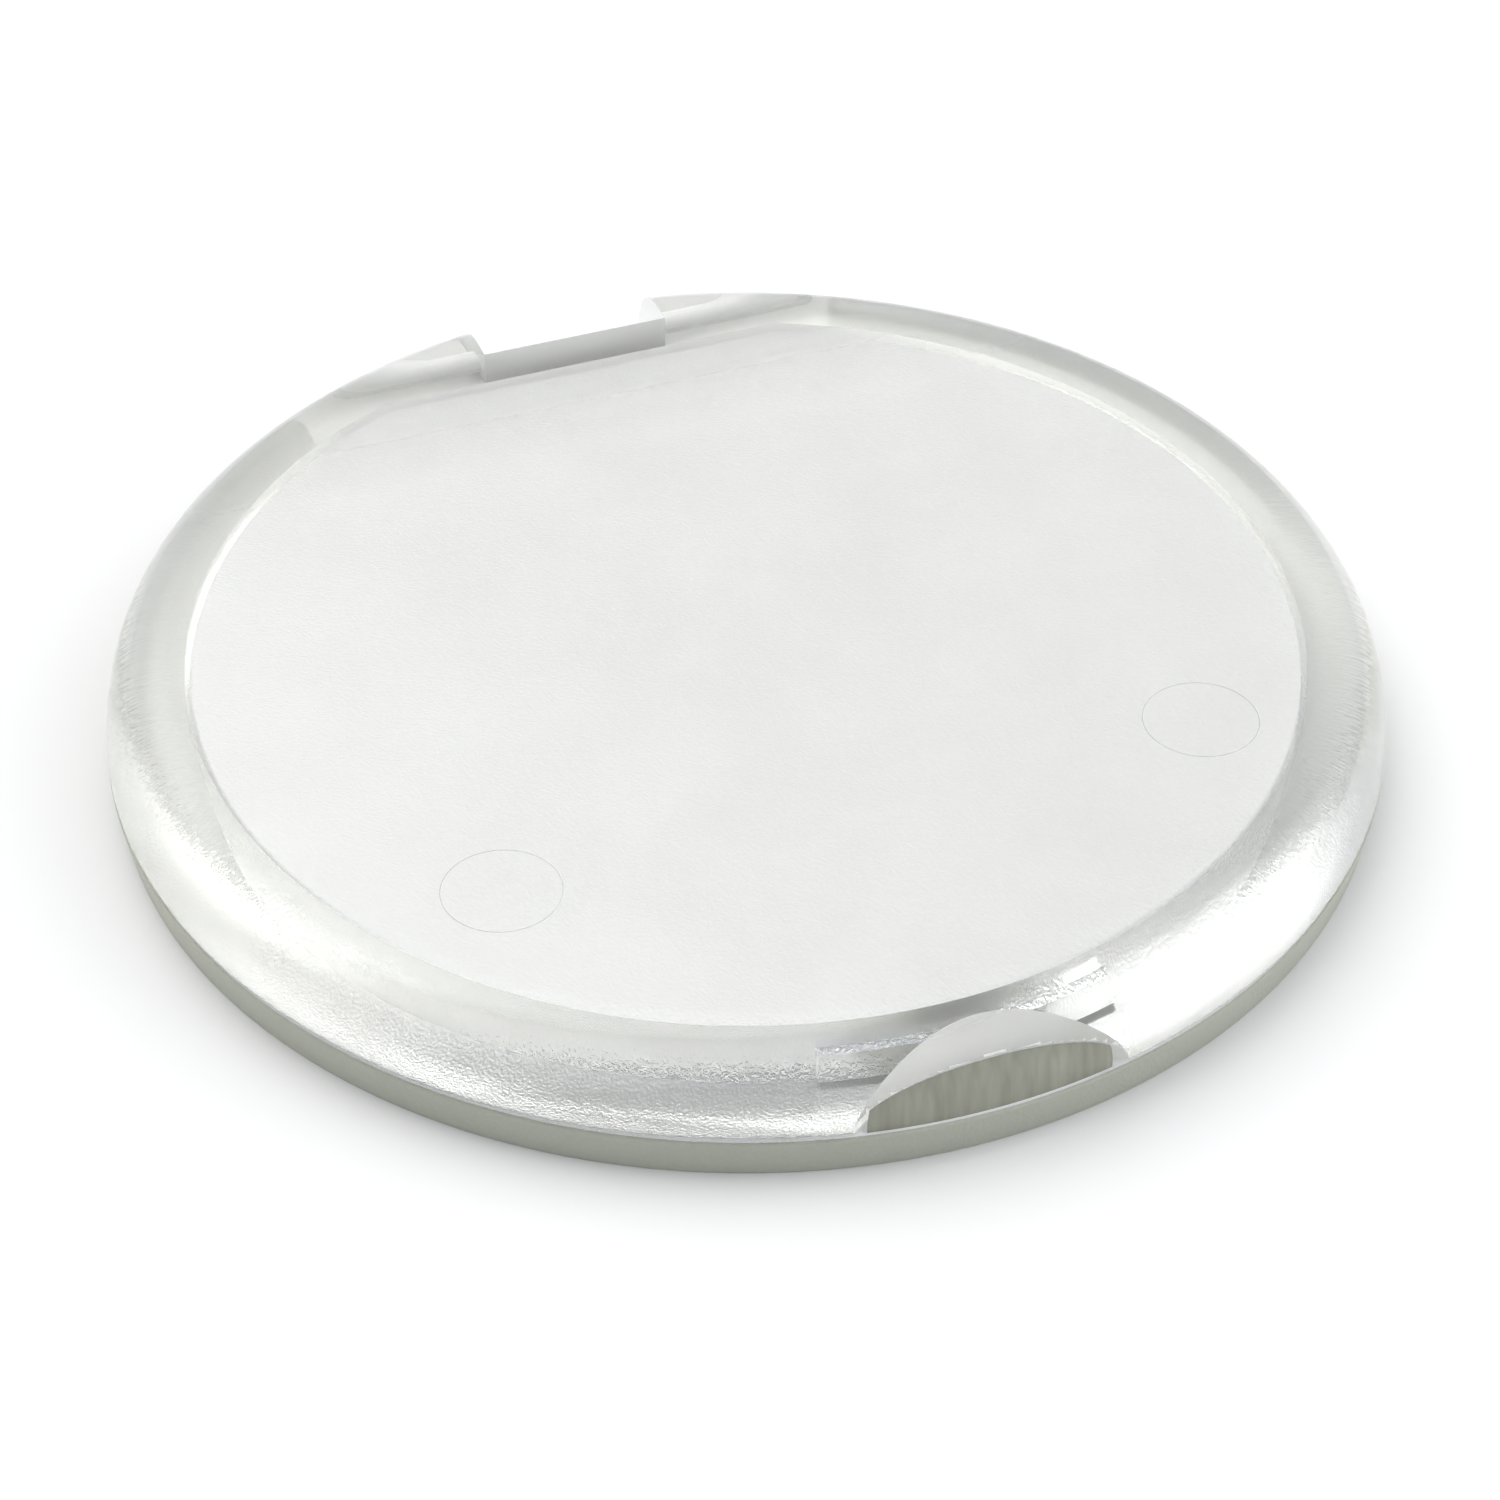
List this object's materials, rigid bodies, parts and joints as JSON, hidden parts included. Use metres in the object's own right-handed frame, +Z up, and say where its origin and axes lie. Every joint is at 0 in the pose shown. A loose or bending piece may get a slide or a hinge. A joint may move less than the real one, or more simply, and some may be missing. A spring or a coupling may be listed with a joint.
{
  "type": "hinged coin capsule",
  "caption": "Round clear hinged case for a coin: a thick lid with a rounded rim and a thumb recess, on a thin base with a tab in the recess, with a soft insert ring and pads.",
  "frame": {"origin": "centre of the underside, on the surface that the case rests on", "axes": "+Z up out of the lid, +Y towards the hinge, -Y towards the thumb recess, X along the hinge pins"},
  "size_m": [0.065, 0.065, 0.007],
  "materials": {
    "lid_plastic": "clear moulded plastic, polished, faintly green-grey in depth",
    "base_plastic": "clear moulded plastic with a satin textured edge",
    "pin_plastic": "clear plastic rod",
    "pad_foam": "fine closed-cell white foam sheet",
    "ring_foam": "white closed-cell foam"
  },
  "bodies": {
    "base": {"base_shell": "base_plastic", "base_pad": "pad_foam", "coin_ring": "ring_foam", "hinge_pin_left": "pin_plastic", "hinge_pin_right": "pin_plastic"},
    "lid": {"lid_shell": "lid_plastic", "lid_pad": "pad_foam"}
  },
  "joints": [
    {"name": "lid_hinge", "type": "hinge", "parent": "base", "child": "lid", "pos_m": [0, 0.0288, 0.0037], "axis": [-1, 0, 0], "range_deg": [0, 115]}
  ]
}
